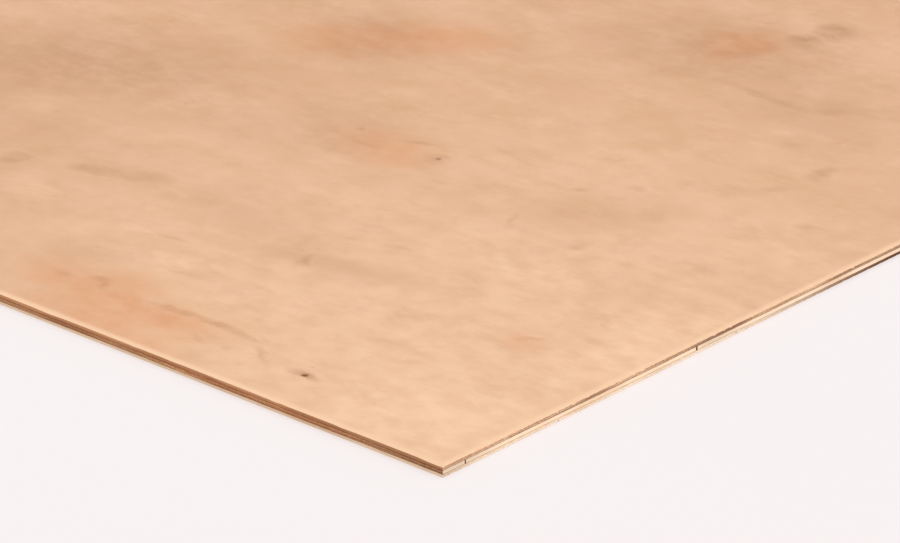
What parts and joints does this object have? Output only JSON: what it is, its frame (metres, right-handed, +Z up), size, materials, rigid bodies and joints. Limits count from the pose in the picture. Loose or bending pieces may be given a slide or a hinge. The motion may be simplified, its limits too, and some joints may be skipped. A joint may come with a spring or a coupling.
{
  "type": "plywood sheet",
  "caption": "Thin flat rectangular plywood sheet: a core veneer glued cross-grain between a face and a back veneer, with square sawn edges.",
  "frame": {"origin": "middle of the sheet's underside, which is the outside of the back veneer", "axes": "+X along the sheet's length and the grain of its faces, +Y across its width, +Z up out of the face veneer"},
  "size_m": [2.44, 1.22, 0.0036],
  "materials": {
    "face_veneer": "pale peach rotary-cut hardwood, sanded, unfinished, with soft reddish clouds and pin knots",
    "core_veneer": "raw sawn edge: pale cream side grain on the short edges, dark brown end grain on the long edges",
    "back_veneer": "rotary-cut hardwood, lightly sanded, a shade darker and plainer than the face"
  },
  "bodies": {
    "root": {"face_veneer": "face_veneer", "core_veneer": "core_veneer", "back_veneer": "back_veneer"}
  },
  "joints": []
}
